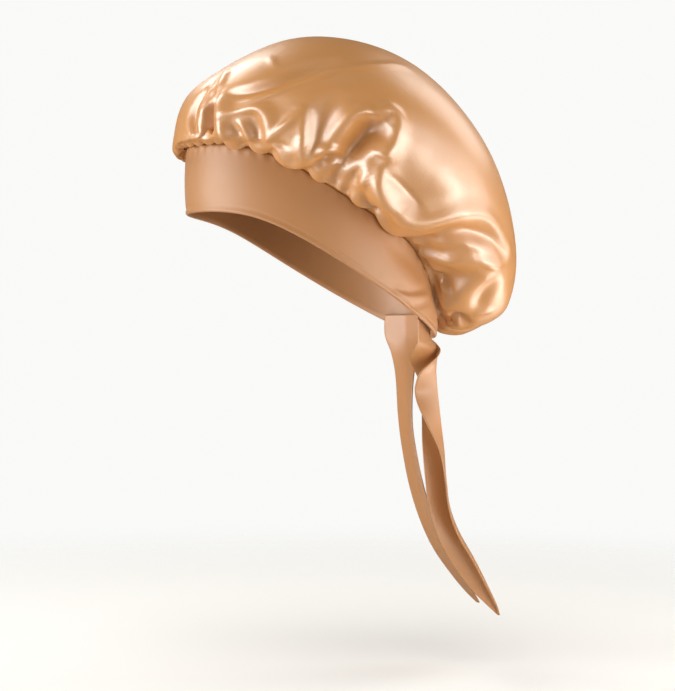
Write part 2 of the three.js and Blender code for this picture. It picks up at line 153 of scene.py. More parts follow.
# Folds of the left half, as the photo shows them. Lean is how far a fold hangs towards the seam, as a share
# of its height. Each row is a place on the fold's line: pixels across and down the enlargement, height and
# half width. A tail goes on past the last pick: angle, along, height and half width.
SeenFold = namedtuple("SeenFold", "name seen_in lean rows tail", defaults=((),))
SEEN_FOLDS = (
    SeenFold("brow pinch", FRONT, 0, (
        (250, 900, -3, 3.6), (225, 800, -5, 4), (235, 700, -5, 4.4), (290, 590, -4, 4.4),
        (380, 480, -2, 4.4), (460, 390, 0, 4.4),
    )),
    SeenFold("brow ridge", FRONT, 0.2, (
        (300, 940, 2, 3.4), (283, 820, 4, 3.4), (285, 700, 4.5, 3.4), (340, 600, 4.5, 3.4),
        (420, 500, 3.5, 3.6), (500, 390, 2, 4), (580, 300, 0, 4),
    )),
    SeenFold("brow valley", FRONT, 0, (
        (345, 950, -8, 4), (345, 880, -15, 4.8), (350, 780, -14, 5), (370, 680, -10, 5),
        (410, 580, -6, 4.6), (480, 470, -2, 4.6), (540, 380, 0, 4.6),
    )),
    SeenFold("brow swell", FRONT, 0.2, (
        (485, 965, 4, 5.5), (465, 900, 6, 6.5), (455, 800, 6.5, 7), (450, 700, 5.5, 7),
        (460, 600, 3, 7), (520, 500, 0, 8),
    )),
    SeenFold("front lobe", FRONT, 0.3, (
        (500, 735, 1, 6.5), (580, 725, 2.4, 6.5), (670, 700, 3, 6.5), (760, 680, 3.8, 6.5),
        (835, 715, 3.8, 6), (872, 790, 3.4, 5.4), (872, 880, 3, 5), (862, 980, 2, 4.4),
    )),
    SeenFold("temple dimple front", FRONT, 0, (
        (520, 745, -1.5, 5), (560, 810, -4, 6), (605, 880, -4, 6), (655, 950, -3, 5), (685, 990, -2, 4),
    )),
    SeenFold("temple rib", FRONT, 0, (
        (600, 750, 0, 3.6), (650, 840, 2.5, 3.6), (700, 930, 2.5, 3.6), (735, 985, 2, 3.6),
    )),
    SeenFold("temple dimple rear", FRONT, 0, (
        (765, 770, -1.5, 5), (780, 850, -4.2, 6.5), (800, 930, -4.2, 6.5), (810, 1000, -2.4, 5),
    )),
    SeenFold("facet slant", FRONT, 0, (
        (1190, 655, 0, 3.8), (1110, 770, 2.2, 3.4), (1000, 870, 2.5, 3.4), (905, 955, 1.5, 3.4),
    )),
    SeenFold("facet flat", FRONT, 0, ((960, 990, -1.5, 4), (1060, 1000, -2.5, 6), (1130, 920, -1.5, 5))),
    SeenFold("facet rim", FRONT, 0.5, (
        (950, 1020, 2, 3.6), (1040, 1120, 3.5, 4), (1130, 1170, 3.5, 4), (1195, 1185, 2, 3.8),
    )),
    SeenFold("facet plane", FRONT, 0, (
        (1140, 700, 0, 11), (1125, 850, 3.5, 12), (1110, 1000, 4.5, 11), (1110, 1090, 2, 9),
    )),
    SeenFold("temple facet", FRONT, 0, (
        (1205, 640, 0, 4), (1212, 760, 2.5, 3.8), (1210, 880, 3.2, 3.8), (1207, 1000, 3.5, 3.8),
        (1200, 1110, 3, 3.8), (1195, 1165, 2, 3.8),
    )),
    SeenFold("ear hollow", FRONT, 0, (
        (1320, 1050, -3, 7), (1335, 900, -5, 9), (1395, 760, -5, 10), (1460, 620, -3, 10),
        (1520, 500, 0, 10),
    )),
    SeenFold("ear tube rim", FRONT, 0.3, (
        (1235, 1165, 2, 4), (1300, 1115, 3.5, 4), (1390, 1065, 4.5, 4.4), (1470, 1075, 4, 4.4),
        (1500, 1130, 2, 4),
    )),
    SeenFold("ear tube", FRONT, 0, ((1340, 1190, -5, 4.2), (1400, 1145, -7, 4.8), (1450, 1120, -4, 4.2))),
    SeenFold("top crease", FRONT, 0.5, (
        (600, 652, 0, 3.6), (760, 610, 2, 3.6), (950, 535, 2.6, 3.6), (1130, 455, 2.6, 3.6),
        (1350, 380, 2.2, 3.8), (1560, 312, 1.8, 4),
    ), ((97, 0.72, 1.2, 4), (109, 0.745, 0, 4))),
    SeenFold("top sag", FRONT, 0, (
        (470, 560, -1, 7), (700, 540, -3.5, 8), (950, 470, -4, 9), (1150, 390, -4, 10),
        (1400, 290, -2.5, 11), (1560, 240, 0, 11),
    )),
    SeenFold("dome crease", FRONT, 0, ((900, 210, 0, 3), (935, 275, 0.9, 3), (975, 345, 0, 3))),
    SeenFold("deep valley", EAR, 0, (
        (85, 600, -5, 5), (120, 545, -11, 7), (200, 430, -15, 9), (300, 290, -15, 9), (370, 210, -8, 8),
        (420, 190, -3, 6),
    )),
    SeenFold("hook", EAR, 0.2, (
        (15, 400, 1.5, 5.5), (70, 320, 3.5, 6), (140, 240, 4.5, 6), (210, 170, 4.5, 5.5),
        (290, 132, 4, 5.2), (350, 145, 3.4, 5), (415, 118, 3.6, 5), (478, 118, 3.8, 5.2),
        (508, 172, 3.8, 5.4), (497, 245, 3.8, 5.4), (462, 330, 3.8, 5.4), (430, 410, 3, 5.4),
    )),
    SeenFold("ear tuck", EAR, 0.2, (
        (90, 612, 2, 3.6), (150, 555, 4.5, 4), (230, 475, 5.5, 4.6), (300, 405, 4.5, 4.6),
        (350, 350, 3, 4.6), (420, 300, 0, 4.6),
    )),
    SeenFold("tuck groove", EAR, 0, (
        (160, 645, -3, 3.2), (205, 590, -4, 3.2), (265, 515, -4, 3.2), (305, 440, -2.5, 3.4),
        (345, 375, 0, 3.6),
    )),
    SeenFold("ear rib", EAR, 0.3, (
        (320, 715, 2.5, 3.8), (270, 630, 4.5, 4), (285, 535, 5, 4.2), (318, 435, 4.5, 4.2),
        (370, 370, 3, 4.4), (430, 325, 0, 4.4),
    )),
    SeenFold("under roll", EAR, 0, (
        (335, 735, -3, 3.2), (298, 655, -5, 3.4), (305, 565, -5, 3.4), (345, 455, -3.5, 3.6),
        (385, 390, 0, 4),
    )),
    SeenFold("roll", EAR, 0.25, (
        (440, 350, 2, 5.4), (402, 450, 4.5, 6.6), (368, 550, 7, 8.4), (375, 650, 9.5, 9.6),
        (425, 752, 11, 10.5), (505, 820, 11.5, 10.5), (600, 852, 10.5, 9.6), (720, 842, 8, 8),
        (850, 818, 6, 7), (960, 806, 5, 6.4), (1060, 815, 4.2, 5.8), (1130, 870, 3.4, 5.4),
        (1185, 965, 2, 5), (1208, 1030, 0.8, 5),
    )),
    SeenFold("roll crease", EAR, 0, (
        (410, 465, -0.6, 3.2), (440, 530, -1, 3.2), (525, 615, -1.2, 3.2), (612, 710, -1.2, 3.2),
        (680, 752, -1, 3.2), (780, 750, -0.6, 3.2), (900, 745, 0, 4),
    )),
    SeenFold("panel swell", EAR, 0, (
        (700, 420, 0, 16), (780, 520, 0.8, 17), (860, 620, 1, 17), (960, 680, 0, 16),
    )),
    SeenFold("pocket", EAR, 0, (
        (650, 955, -4, 5), (740, 935, -7, 7), (860, 908, -9, 9), (990, 895, -9, 9), (1090, 915, -6, 8),
        (1150, 975, -3, 7), (1180, 1030, 0, 6.5),
    )),
    SeenFold("pocket thread", EAR, 0.2, (
        (640, 972, 1, 3.4), (760, 975, 1.6, 3.4), (900, 985, 1.4, 3.6), (1040, 1000, 0.8, 4),
        (1160, 1040, 0, 4),
    )),
    SeenFold("pocket groove", EAR, 0, (
        (660, 1012, -2, 3.4), (760, 1030, -3, 3.8), (850, 1020, -2.5, 3.8), (930, 990, 0, 4),
    )),
    SeenFold("pocket rib", EAR, 0.3, (
        (640, 1030, 1.5, 3.6), (720, 1068, 4, 4), (800, 1080, 5, 4.4), (870, 1068, 4, 4.8),
        (930, 1055, 2, 5), (990, 1045, 0, 5),
    )),
    SeenFold("bag groove", EAR, 0, (
        (665, 1075, -1.5, 3.2), (760, 1105, -3.5, 3.4), (870, 1092, -3.5, 3.4), (960, 1070, -2, 4),
        (1060, 1060, 0, 4),
    )),
    SeenFold("bag rib", EAR, 0.3, (
        (655, 1065, 1.5, 3.6), (700, 1112, 3.5, 4), (800, 1132, 5.5, 4.2), (920, 1112, 5.5, 4.4),
        (1020, 1102, 5, 4.4), (1130, 1108, 3, 4.2), (1205, 1055, 0.5, 4),
    )),
    SeenFold("bag hollow", EAR, 0, (
        (700, 1165, -4, 5), (800, 1185, -6, 6), (900, 1170, -4, 6), (1020, 1150, 0, 6),
    )),
    SeenFold("bag swell", EAR, 0, (
        (780, 1340, 0, 8), (880, 1290, 3, 9), (960, 1220, 4, 9), (1060, 1160, 3, 7), (1150, 1115, 0, 6),
    )),
    SeenFold("bag edge", EAR, 0, (
        (1150, 1165, 0, 6), (1060, 1245, -2.5, 6), (1000, 1320, -2.5, 6), (985, 1400, 0, 6),
    )),
    SeenFold("bag pleat", EAR, 0, (
        (680, 1140, -2, 3.2), (740, 1190, -2.5, 3.2), (810, 1245, -2, 3.2), (860, 1310, 0, 3.2),
    )),
    SeenFold("bag dimple", EAR, 0, (
        (770, 1432, -4, 5), (850, 1445, -9, 6), (900, 1465, -6, 6), (950, 1490, 0, 6),
    )),
    SeenFold("bag crease", EAR, 0, (
        (955, 1420, 0, 3), (1000, 1412, 1.4, 3), (1050, 1400, 1.4, 3), (1095, 1388, 0, 3),
    )),
)

# A fold on the cloth. Each row is a place on its line: angle, along, height and half width.
Fold = namedtuple("Fold", "name lean rows")

# Folds of the back, where angles run on past the nape (180) to the right side.
BACK_FOLDS = (
    Fold("nape pleat", 0, (
        (172, 0.03, -3, 4), (174, 0.12, -3.5, 5), (177, 0.24, -2.5, 7), (181, 0.4, 0, 9),
    )),
    Fold("nape ridge", 0, (
        (183, 0.05, 1.5, 4.5), (185, 0.15, 2, 6), (189, 0.3, 2.4, 8), (194, 0.5, 0, 10),
    )),
    Fold("nape valley", 0, ((189, 0.03, -3, 4), (191, 0.12, -6, 6), (194, 0.22, -4, 7), (199, 0.38, 0, 9))),
    Fold("nape rise", 0, ((199, 0.05, 2, 4.5), (202, 0.15, 3, 6), (206, 0.28, 2.5, 8), (212, 0.42, 0, 9))),
    Fold("bag drape", 0, ((170, 0.26, 0, 6), (175, 0.33, 1.2, 7), (182, 0.39, 2, 8), (192, 0.42, 0, 9))),
    Fold("back drape", 0.2, (
        (158, 0.86, 0, 9), (170, 0.76, 1.8, 8), (184, 0.64, 2.6, 8), (200, 0.53, 2.4, 8), (216, 0.46, 0, 8),
    )),
    Fold("back hollow", 0, (
        (166, 0.7, 0, 11), (178, 0.6, -2.4, 11), (194, 0.49, -3, 10), (208, 0.42, 0, 10),
    )),
    Fold("right drape", 0.2, (
        (252, 0.8, 0, 9), (240, 0.7, 1.6, 8), (228, 0.58, 2.2, 8), (220, 0.48, 1.4, 8), (216, 0.4, 0, 8),
    )),
)

# Slack of the loose cloth: direction, length and phase of each soft crease, and its height. Then the mean of
# a crease, how soft its edge is, where it fades in over the seam, and the side where the cloth lies smooth.
Wave = namedtuple("Wave", "x y z length phase height")
SLACK = (
    Wave(0.8, 0.5, 0.33, 96, 0.4, 0.9),
    Wave(-0.55, 0.78, 0.3, 118, 1.7, 1.0),
    Wave(0.25, -0.6, 0.76, 84, 2.9, 0.8),
    Wave(0.93, -0.3, -0.2, 66, 4.1, 0.5),
    Wave(-0.2, 0.4, 0.9, 58, 5.2, 0.4),
)
SLACK_MEAN = 0.64
SLACK_SOFTNESS = 0.03
SLACK_FADE_IN = (0.12, 0.4)
SMOOTH_SIDE_FRONT = (8, 40)
SMOOTH_SIDE_BACK = (150, 178)
SMOOTH_SIDE_SHARE = 0.3

# Wrinkles where the band narrows to the nape, left half, with the share of its width as along.
BAND_FOLDS = (
    Fold("upper drag", 0, (
        (114, 0.1, 0, 2.6), (121, 0.16, -1.3, 2.6), (130, 0.27, -1.8, 2.6), (140, 0.53, -1.3, 2.6),
        (148, 0.85, 0, 2.6),
    )),
    Fold("drag ridge", 0, ((118, 0.02, 0, 3), (127, 0.15, 1.1, 3), (137, 0.37, 1.2, 3), (147, 0.7, 0, 3))),
    Fold("lower drag", 0, (
        (127, 0.02, 0, 2.4), (132, 0.08, -1.2, 2.4), (140, 0.28, -1.4, 2.4), (149, 0.62, 0, 2.4),
    )),
    Fold("upper hollow", 0, (
        (112, 0.66, 0, 8), (122, 0.7, -1.4, 8), (132, 0.74, -1.6, 8), (142, 0.74, 0, 8),
    )),
)

# Places along the seam, left half, where the gathers pinch the cloth in. The puffs between them grow with
# their span in degrees from a least size, and the other values shape a puff round and up the cloth.
SEAM_PINCHES = (
    0, 6, 11, 19, 27, 34, 39, 52, 62, 77, 88.5, 93.5, 105, 126, 131, 136.5, 143, 148, 157, 166, 173, 180,
)
PUFF_LEAST = 0.4
PUFF_SPAN = 14
PUFF_ROUNDNESS = 0.75
PUFF_FURROW = 0.2
PUFF_FADE = 1.6

# The right half has like folds, set a little round from the mirror of the left ones.
RIGHT_STRETCH = 0.965
RIGHT_SHIFT = 4
RIGHT_HEIGHT = 0.9

# Down each tie: the place of its fold line, then the compass turn and width of its two leaves.
TieRow = namedtuple("TieRow", "z x y near_turn near_width far_turn far_width")
LEFT_TIE = (
    TieRow(-28, 13.2, 91, 59, 40, 239, 1.6),
    TieRow(-47.5, 13.2, 91, 59, 40, 239, 1.6),
    TieRow(-52.5, 13.6, 94.5, 50, 37, 150, 2.4),
    TieRow(-57, 14, 96.4, 34, 30, 96, 6),
    TieRow(-64, 14, 96.8, 8, 24, 62, 13),
    TieRow(-71, 14, 97, -13, 19, 36, 18),
    TieRow(-78, 14, 97.4, -25, 16, 20, 20),
    TieRow(-91, 14, 98.7, -32, 15, 8, 21),
    TieRow(-112, 14, 100.8, -20, 16, 34, 20),
    TieRow(-134, 14, 102.8, 0, 18, 60, 18),
    TieRow(-157, 14, 103.8, 10, 18, 72, 18),
    TieRow(-178, 14, 107, 12, 19, 70, 18),
    TieRow(-197, 14, 115, 8, 21, 63, 15),
    TieRow(-220, 14, 129, 0, 22, 56, 11),
    TieRow(-243, 14, 140.5, -4, 16, 54, 7),
    TieRow(-258, 14, 146.5, -4, 7, 54, 3.5),
    TieRow(-264, 14, 147.5, -4, 1.6, 54, 1.6),
)
RIGHT_TIE = (
    TieRow(-28, -30.8, 83.9, 112, 19, -51, 20),
    TieRow(-44, -30.4, 84, 112, 19, -50, 20),
    TieRow(-58, -24, 83.5, 104, 19, -66, 20),
    TieRow(-75, -15, 81, 88, 20, -78, 20),
    TieRow(-110, -9, 80.5, 80, 20, -82, 20),
    TieRow(-134, -7, 83, 80, 20, -82, 20),
    TieRow(-165, -6, 89, 82, 20, -82, 20),
    TieRow(-192, -5, 97.5, 84, 20, -82, 20),
    TieRow(-215, -4, 108, 84, 19, -82, 19),
    TieRow(-236, -4, 122, 84, 14, -82, 16),
    TieRow(-250, -6, 133, 84, 5, -82, 12),
    TieRow(-257, -8, 138, 84, 1.6, -82, 4),
)

# Steps across and down a tie's sheet, and how soft its fold is above and below the stretch where it opens.
TIE_COLUMNS = 40
TIE_ROWS = 160
TIE_FOLD_ABOVE = 0.12
TIE_FOLD_BELOW = 0.3
TIE_OPENING = (0.55, 0.95)

# Floor in metres, with the share of its radius where it starts to fade out, and its glow.
FLOOR_RADIUS = 1.1
FLOOR_SIDES = 96
FLOOR_FADE_START = 0.35
FLOOR_GLOW = 0.04
CAMERA_CLIP_END = 50

# Soft lights: degrees to the right of the camera and up, metres away, wide and high, watts, how warm the
# light is, the degrees that it spreads, and whether gloss mirrors it. A warm light loses green and blue.
Softbox = namedtuple("Softbox", "name across lift reach width height power warmth spread in_gloss")
SOFTBOXES = (
    Softbox("left_softbox", -72, 0, 1.6, 1.2, 1.2, 32, 0.1, 180, True),
    Softbox("right_softbox", 72, 0, 1.6, 2.0, 1.3, 18, 0.1, 180, True),
    Softbox("low_softbox", 55, -14, 0.85, 0.8, 0.25, 3.4, 0.4, 180, True),
    Softbox("right_bounce", 108, -36, 0.47, 0.5, 0.16, 0.2, 0.3, 70, True),
    Softbox("left_bounce", -55, -36, 0.46, 0.3, 0.16, 0.04, 0.3, 70, True),
    Softbox("rear_left_softbox", -136, 42, 1.9, 1.3, 0.5, 16, 0.2, 180, True),
    Softbox("rear_right_softbox", 123, 38, 1.9, 1.2, 1.3, 12, 0.2, 180, True),
    Softbox("top_fill", -20, 72, 2.0, 1.4, 1.4, 23, 0.1, 180, False),
    Softbox("front_fill", 0, 0, 2.0, 1.6, 1.6, 3.5, 0.1, 180, False),
)
WARM_GREEN_LOSS = 0.16
WARM_BLUE_LOSS = 0.4


def smooth_step(value, low, high):
    """0 below low, 1 above high, and a smooth rise between them."""
    share = np.clip((np.asarray(value, dtype=float) - low) / (high - low), 0, 1)
    return share * share * (3 - 2 * share)


def mix(start, end, share):
    return start + (end - start) * share


def read_rows(knots, values, at):
    """Smooth curve through the rows of values, which stand at the knots, read at one place."""
    knots = np.asarray(knots, dtype=float)
    values = np.asarray(values, dtype=float)
    last = len(knots) - 1
    rising = 1 if knots[-1] > knots[0] else -1
    i = 0
    while i < last - 1 and rising * (knots[i + 1] - at) < 0:
        i += 1
    before, after = max(i - 1, 0), min(i + 2, last)
    span = knots[i + 1] - knots[i]
    t = (at - knots[i]) / span
    slope_from = (values[i + 1] - values[before]) / (knots[i + 1] - knots[before]) * span
    slope_to = (values[after] - values[i]) / (knots[after] - knots[i]) * span
    return (
        values[i] * (2 * t**3 - 3 * t**2 + 1)
        + slope_from * (t**3 - 2 * t**2 + t)
        + values[i + 1] * (3 * t**2 - 2 * t**3)
        + slope_to * (t**3 - t**2)
    )


def band_lower_z(y):
    """Height of the band's lower edge, level over the brow and sloping to the nape."""
    past = (y - SLOPE_START_Y) / SLOPE_SOFTNESS
    return BROW_EDGE_Z - BAND_SLOPE * SLOPE_SOFTNESS * np.log1p(np.exp(past))


def band_width(angle):
    return mix(BAND_WIDTH, BAND_NAPE_WIDTH, smooth_step(np.abs(angle), TAPER_START, TAPER_END))


def on_head(angle, out):
    """Place on the head's oval, moved out from it."""
    turn = np.radians(angle)
    return (HEAD_HALF_WIDTH + out) * np.sin(turn), -(HEAD_HALF_DEPTH + out) * np.cos(turn)


def band_upper_z(angle):
    return band_lower_z(on_head(angle, 0)[1]) + band_width(angle)


def crown_form(angles, alongs):
    """Points of the smooth crown, a row for each along and a column for each angle."""
    turn = np.radians(angles)
    front_share = (1 + np.cos(turn)) / 2
    seam_z = band_upper_z(angles)
    ahead_of_bag = 1 - smooth_step(np.abs(angles), BAG_START, BAG_END)
    drooping = smooth_step(-angles, DROOP_START, DROOP_END)
    seamward = ahead_of_bag * mix(1, DROOP_FOLLOW, drooping)

    def on_oval(out, rise):
        x, y = on_head(angles, out)
        return np.stack([x, y, seam_z + rise], axis=-1)

    knots = [0, LIP_ALONG]
    path = [on_oval(SEAM_OUT, SEAM_GAP), on_oval(LIP_OUT, LIP_RISE)]
    for ring in CROWN_RINGS:
        swell = ring.side_z - (ring.front_z + ring.back_z) / 2
        ring_z = mix(ring.back_z, ring.front_z, front_share) + swell * np.sin(turn) ** 2
        x = ring.half_width * np.sin(turn)
        y = mix(ring.back_y, ring.front_y, front_share)
        z = mix(ring_z, seam_z + ring.rise, ring.follow * seamward)
        knots.append(ring.along)
        path.append(np.stack([x, y, z], axis=-1))
    knots.append(1)
    path.append(np.tile(np.array(CROWN_TOP, dtype=float), (len(angles), 1)))
    path = np.array(path)
    return np.array([read_rows(knots, path, along) for along in alongs])


def outward(points):
    """Outward directions over a grid whose first and last columns lie on each other."""
    across = np.roll(points[:, :-1], -1, axis=1) - np.roll(points[:, :-1], 1, axis=1)
    across = np.concatenate([across, across[:, :1]], axis=1)
    up = np.gradient(points, axis=0)
    normal = np.cross(across, up)
    length = np.linalg.norm(normal, axis=-1, keepdims=True)
    return normal / np.maximum(length, TINY)


def smooth_line(rows, steps=6):
    """A finer line through a fold's rows."""
    rows = np.array(rows, dtype=float)
    knots = np.arange(len(rows))
    places = np.linspace(0, len(rows) - 1, (len(rows) - 1) * steps + 1)
    return np.array([read_rows(knots, rows, place) for place in places])


def fold_lift(rows, angle, along, chart=CROWN_CHART):
    """How far one fold lifts the cloth over the whole grid."""
    scale = np.array(chart)
    at = np.stack([angle, along], axis=-1) * scale
    line = smooth_line(rows)
    nearest = np.full(angle.shape, np.inf)
    lift = np.zeros(angle.shape)
    for start, end in zip(line[:-1], line[1:]):
        base = start[:2] * scale
        step = end[:2] * scale - base
        share = np.clip(((at - base) @ step) / (step @ step), 0, 1)
        off = np.linalg.norm(at - base - share[..., None] * step, axis=-1)
        width = mix(start[3], end[3], share)
        height = mix(start[2], end[2], share)
        closer = off / width < nearest
        nearest = np.where(closer, off / width, nearest)
        lift = np.where(closer, height * np.exp(-((off / width) ** 2)), lift)
    return lift


def upward(points):
    """Directions up the cloth, away from the seam."""
    up = np.gradient(points, axis=0)
    return up / np.maximum(np.linalg.norm(up, axis=-1, keepdims=True), TINY)


class CrownView:
    """The smooth crown in the photo's view, to find the cloth that shows at a pixel."""

    def __init__(self):
        turn = math.radians(VIEW_TURN)
        self.right = np.array([math.cos(turn), math.sin(turn), 0])
        self.ahead = np.array([-math.sin(turn), math.cos(turn), 0])
        self.camera = self.right * VIEW_SIDE - self.ahead * VIEW_DISTANCE + np.array([0, 0, VIEW_HEIGHT])
        self.angles = np.linspace(-180, 180, CHART_COLUMNS + 1)
        self.alongs = np.linspace(0, 1, CHART_ROWS + 1)
        self.form = crown_form(self.angles, self.alongs)
        self.normal = outward(self.form)
        self.up = upward(self.form)
        self.seen = ((self.camera - self.form) * self.normal).sum(axis=-1) > SEEN_LIMIT
        self.x, self.y, _ = self.project(self.form)

    def project(self, points):
        """Pixels at which points show, and how far ahead of the camera they are."""
        offset = points - self.camera
        depth = offset @ self.ahead
        scale = VIEW_LENS / VIEW_SENSOR * max(VIEW_PIXELS) / depth
        x = VIEW_PIXELS[0] / 2 + scale * (offset @ self.right)
        y = VIEW_PIXELS[1] / 2 - scale * offset[..., 2]
        return x, y, depth

    def find(self, x, y, height, lean):
        """Angle and along of the cloth that shows at a pixel when a fold lifts it by its height."""
        near = self.seen & (np.hypot(self.x - x, self.y - y) < PICK_REACH)
        raised = self.form[near] + self.normal[near] * height - self.up[near] * (lean * height)
        raised_x, raised_y, depth = self.project(raised)
        off = np.hypot(raised_x - x, raised_y - y)
        best = np.argmin(np.where(off < off.min() + PICK_SLACK, depth, np.inf))
        row, column = np.argwhere(near)[best]
        return self.angles[column], self.alongs[row]

    def lay(self, fold):
        """A fold of the photo, laid on the cloth."""
        rows = []
        for across, down, height, half_width in fold.rows:
            x = fold.seen_in.left + across / fold.seen_in.zoom_x
            y = fold.seen_in.top + down / fold.seen_in.zoom_y
            rows.append((*self.find(x, y, max(height, 0), fold.lean), height, half_width))
        return Fold(fold.name, fold.lean, (*rows, *fold.tail))


def gather_lift(angle, along, settings):
    """Puffs between the seam's pinches, with narrow furrows at them, which fade out up the cloth."""
    right = [-(place * RIGHT_STRETCH + RIGHT_SHIFT) for place in SEAM_PINCHES[1:-1]]
    pinches = np.array(sorted([-180, *right, *SEAM_PINCHES]), dtype=float)
    i = np.clip(np.searchsorted(pinches, angle, side="right") - 1, 0, len(pinches) - 2)
    span = pinches[i + 1] - pinches[i]
    size = PUFF_LEAST + span / PUFF_SPAN
    puff = np.abs(np.sin(np.pi * (angle - pinches[i]) / span)) ** PUFF_ROUNDNESS
    fade = np.exp(-((along / (settings.gather_reach * size)) ** PUFF_FADE))
    return settings.gather_depth / MM * (puff - PUFF_FURROW) * size * fade


def slack_lift(points, angle, along):
    """Slow dents and soft creases, least on the side where the cloth lies smooth."""
    lift = np.zeros(angle.shape)
    for wave in SLACK:
        direction = np.array([wave.x, wave.y, wave.z])
        run = points @ direction * np.pi / wave.length + wave.phase
        lift += wave.height * (SLACK_MEAN - np.sqrt(np.sin(run) ** 2 + SLACK_SOFTNESS))
    smooth_side = smooth_step(angle, *SMOOTH_SIDE_FRONT) * (1 - smooth_step(angle, *SMOOTH_SIDE_BACK))
    return lift * mix(1, SMOOTH_SIDE_SHARE, smooth_side) * smooth_step(along, *SLACK_FADE_IN)


def all_lifts(angle, along, settings):
    """How far the folds and gathers lift the cloth off its smooth form, and hang it towards the seam."""
    right = angle < 0
    twin = np.where(right, (-angle - RIGHT_SHIFT) / RIGHT_STRETCH, angle)
    strength = np.where(right, RIGHT_HEIGHT, 1) * settings.fold_strength
    lift = np.zeros(angle.shape)
    drop = np.zeros(angle.shape)
    view = CrownView()
    for fold in map(view.lay, SEEN_FOLDS):
        raised = fold_lift(fold.rows, twin, along) * strength
        lift += raised
        drop += raised * fold.lean
    round_back = np.where(right, angle + 360, angle)
    for fold in BACK_FOLDS:
        raised = fold_lift(fold.rows, round_back, along) * settings.fold_strength
        lift += raised
        drop += raised * fold.lean
    gathers = gather_lift(angle, along, settings)
    hold = smooth_step(along, 0, SEAM_HOLD)
    return (lift + gathers) * hold, (drop + settings.gather_hang * gathers) * hold


def crown_place(settings):
    """Places the crown's points: round from the nape by the right ear, and from the seam to the top."""

    def place(across, along):
        angles = across * 360 - 180
        along = along**settings.row_bias
        smooth = crown_form(angles, along)
        angle, rise = np.meshgrid(angles, along)
        lift, drop = all_lifts(angle, rise, settings)
        lift += slack_lift(smooth, angle, rise)
        from_top = np.linalg.norm(smooth[..., :2] - np.array(CROWN_TOP[:2]), axis=-1)
        lift -= TOP_ROUNDING * np.exp(-((from_top / TOP_ROUND_REACH) ** 2))
        lift[:, -1] = lift[:, 0]
        drop[:, -1] = drop[:, 0]
        cloth = smooth + outward(smooth) * lift[..., None] - upward(smooth) * drop[..., None]
        cloth[-1] = cloth[-2, :-1].mean(axis=0)
        return cloth * MM

    return place


def band_section():
    """Round the band's section: share of its thickness and of its width, down in columns."""
    down = np.arange(BAND_INSIDE_STEPS) / BAND_INSIDE_STEPS
    up = np.arange(BAND_OUTSIDE_STEPS) / BAND_OUTSIDE_STEPS
    inwards = (1 + np.cos(np.pi * np.arange(BAND_EDGE_STEPS) / BAND_EDGE_STEPS)) / 2
    outwards = (1 - np.cos(np.pi * np.arange(BAND_EDGE_STEPS + 1) / BAND_EDGE_STEPS)) / 2
    outs = np.concatenate([np.ones_like(up), inwards, np.zeros_like(down), outwards])
    ups = np.concatenate([up, np.ones_like(inwards), 1 - down, np.zeros_like(outwards)])
    return outs[:, None], ups[:, None]


def drag_wrinkles(angle, ups):
    """Soft wrinkles where the band narrows to the nape, alike on both sides."""
    return sum(fold_lift(fold.rows, np.abs(angle), ups, BAND_CHART) for fold in BAND_FOLDS)


def band_place(settings):
    """Places the band's points: round the head from the nape, and round the band's section."""

    def place(across, along):
        angle, _ = np.meshgrid(across * 360 - 180, along)
        outs, ups = band_section()
        width = band_width(angle)
        bulge = 4 * outs * (1 - outs) * np.where(ups > 0.5, 1, -1) + 1 - 2 * ups
        rise = ups * width + BAND_EDGE_BULGE * bulge
        over_hem = rise - settings.hem / MM
        groove = -HEM_GROOVE_DEPTH * np.exp(-((over_hem / HEM_GROOVE_WIDTH) ** 2))
        roll = HEM_ROLL_HEIGHT * smooth_step(-over_hem, HEM_ROLL_START, HEM_ROLL_FULL)
        pucker = PUCKER_HEIGHT * np.sin(np.radians(angle) * PUCKERS_PER_RADIAN)
        pucker *= smooth_step(width - rise, PUCKER_REACH, 0)
        drag = drag_wrinkles(angle, np.broadcast_to(ups, angle.shape))
        bow = BAND_BOW * np.sin(np.pi * ups)
        x, y = on_head(angle, bow + outs * (BAND_THICKNESS + groove + roll + pucker + drag))
        z = band_lower_z(on_head(angle, 0)[1]) + rise
        return np.stack([x, y, z], axis=-1) * MM

    return place


def tie_place(table):
    """Places a tie's points: from the free edge of its near leaf to that of its far leaf, and down."""
    heights = [row.z for row in table]
    values = np.array(table, dtype=float)

    def place(across, along):
        u = across * 2 - 1
        rows = []
        for share in along:
            soft = mix(TIE_FOLD_ABOVE, TIE_FOLD_BELOW, smooth_step(share, *TIE_OPENING))
            from_fold = np.sqrt(u * u + soft * soft)
            row = TieRow(*read_rows(heights, values, mix(heights[0], heights[-1], share)))
            near_turn, far_turn = math.radians(row.near_turn), math.radians(row.far_turn)
            near = (from_fold - u) / 2 * row.near_width
            far = (from_fold + u) / 2 * row.far_width
            x = row.x + near * math.sin(near_turn) + far * math.sin(far_turn)
            y = row.y - near * math.cos(near_turn) - far * math.cos(far_turn)
            rows.append(np.stack([x, y, np.full_like(x, row.z)], axis=-1))
        return np.array(rows) * MM

    return place


def deselect_all():
    if bpy.context.object and bpy.context.object.mode != "OBJECT":
        bpy.ops.object.mode_set(mode="OBJECT")
    bpy.ops.object.select_all(action="DESELECT")


